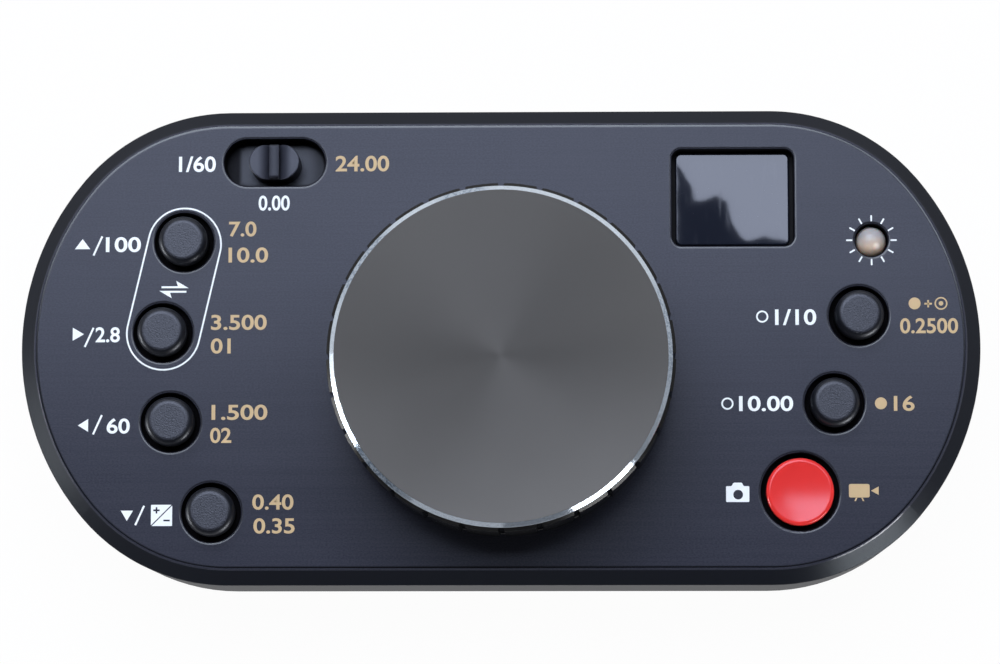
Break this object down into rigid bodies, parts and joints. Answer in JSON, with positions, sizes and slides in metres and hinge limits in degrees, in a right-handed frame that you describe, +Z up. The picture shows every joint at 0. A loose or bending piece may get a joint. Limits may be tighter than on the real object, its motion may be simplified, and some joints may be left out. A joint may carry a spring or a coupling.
{
  "type": "follow focus unit",
  "caption": "Flat black housing with round ends, a large jog wheel, round keys, a record key, a mode slider, a small display, a status lamp and a tripod thread.",
  "frame": {"origin": "on the surface that the feet stand on, under the middle of the body", "axes": "+X to the right along the body, +Y to the back wall with the sockets, +Z up through the face"},
  "size_m": [0.15, 0.0746, 0.0412],
  "materials": {
    "anodised_housing": "satin black anodised, fine brushed grain",
    "anodised_base": "satin black anodised",
    "black_steel": "black oxide",
    "bright_steel": "bright zinc",
    "bush_steel": "turned",
    "board_green": "solder mask",
    "record_red": "glossy",
    "key_rubber": "moulded, fine grain on top",
    "plunger_black": "moulded",
    "switch_black": "moulded",
    "slider_black": "satin moulded",
    "band_black": "satin",
    "window_smoke": "polished smoked window",
    "foam_black": "foam",
    "module_black": "moulded",
    "lamp_milky": "diffused lens",
    "wheel_metal": "spun face, diamond-cut edge",
    "grip_black": "glossy hard lands",
    "disc_clear": "clear film",
    "encoder_metal": "zinc cast",
    "socket_metal": "nickel plated",
    "battery_foil": "foil pouch",
    "lead_red": "flat lead",
    "chip_black": "moulded case, tinned legs",
    "connector_white": "moulded",
    "foot_rubber": "matt"
  },
  "bodies": {
    "body": {"housing": "anodised_housing", "base_plate": "anodised_base", "base_screws": "black_steel", "tripod_bush": "bush_steel", "main_board": "board_green", "control_chip": "chip_black", "board_screws": "bright_steel", "record_switch": "switch_black", "slide_switch": "switch_black", "display_window": "window_smoke", "display_gasket": "foam_black", "display_module": "module_black", "display_header": "module_black", "status_lamp": "lamp_milky", "lamp_spacer": "plunger_black", "encoder_body": "encoder_metal", "encoder_cover": "switch_black", "encoder_washer": "bright_steel", "encoder_nut": "bright_steel", "usb_socket": "socket_metal", "charging_socket": "socket_metal", "battery": "battery_foil", "battery_lead": "lead_red", "battery_connector": "connector_white", "tact_switch_left_1": "switch_black", "tact_switch_left_2": "switch_black", "tact_switch_left_3": "switch_black", "tact_switch_left_4": "switch_black", "tact_switch_right_1": "switch_black", "tact_switch_right_2": "switch_black", "foot_front_left": "foot_rubber", "foot_front_right": "foot_rubber", "foot_back_left": "foot_rubber", "foot_back_right": "foot_rubber"},
    "wheel": {"jog_wheel": "wheel_metal", "grip_ring": "grip_black", "wheel_set_screw": "black_steel", "encoder_shaft": "bright_steel", "code_disc": "disc_clear"},
    "key_body_left_1": {"key_left_1": "key_rubber", "plunger_left_1": "plunger_black"},
    "key_body_left_2": {"key_left_2": "key_rubber", "plunger_left_2": "plunger_black"},
    "key_body_left_3": {"key_left_3": "key_rubber", "plunger_left_3": "plunger_black"},
    "key_body_left_4": {"key_left_4": "key_rubber", "plunger_left_4": "plunger_black"},
    "key_body_right_1": {"key_right_1": "key_rubber", "plunger_right_1": "plunger_black"},
    "key_body_right_2": {"key_right_2": "key_rubber", "plunger_right_2": "plunger_black"},
    "record_body": {"record_key": "record_red", "record_plunger": "plunger_black"},
    "slider_body": {"mode_slider": "slider_black", "dust_band": "band_black", "switch_lever": "plunger_black"}
  },
  "joints": [
    {"name": "wheel_turn", "type": "hinge", "parent": "body", "child": "wheel", "pos_m": [0.0006, -0.0035, 0.0232], "axis": [0, 0, 1], "continuous": true},
    {"name": "press_left_1", "type": "slide", "parent": "body", "child": "key_body_left_1", "axis": [0, 0, -1], "range_m": [0, 0.0008], "stiffness_N_per_m": 1500, "springref_m": -0.0002},
    {"name": "press_left_2", "type": "slide", "parent": "body", "child": "key_body_left_2", "axis": [0, 0, -1], "range_m": [0, 0.0008], "stiffness_N_per_m": 1500, "springref_m": -0.0002},
    {"name": "press_left_3", "type": "slide", "parent": "body", "child": "key_body_left_3", "axis": [0, 0, -1], "range_m": [0, 0.0008], "stiffness_N_per_m": 1500, "springref_m": -0.0002},
    {"name": "press_left_4", "type": "slide", "parent": "body", "child": "key_body_left_4", "axis": [0, 0, -1], "range_m": [0, 0.0008], "stiffness_N_per_m": 1500, "springref_m": -0.0002},
    {"name": "press_right_1", "type": "slide", "parent": "body", "child": "key_body_right_1", "axis": [0, 0, -1], "range_m": [0, 0.0008], "stiffness_N_per_m": 1500, "springref_m": -0.0002},
    {"name": "press_right_2", "type": "slide", "parent": "body", "child": "key_body_right_2", "axis": [0, 0, -1], "range_m": [0, 0.0008], "stiffness_N_per_m": 1500, "springref_m": -0.0002},
    {"name": "press_record", "type": "slide", "parent": "body", "child": "record_body", "axis": [0, 0, -1], "range_m": [0, 0.0008], "stiffness_N_per_m": 1500, "springref_m": -0.0002},
    {"name": "mode_slide", "type": "slide", "parent": "body", "child": "slider_body", "axis": [1, 0, 0], "range_m": [-0.0035, 0.0035]}
  ]
}
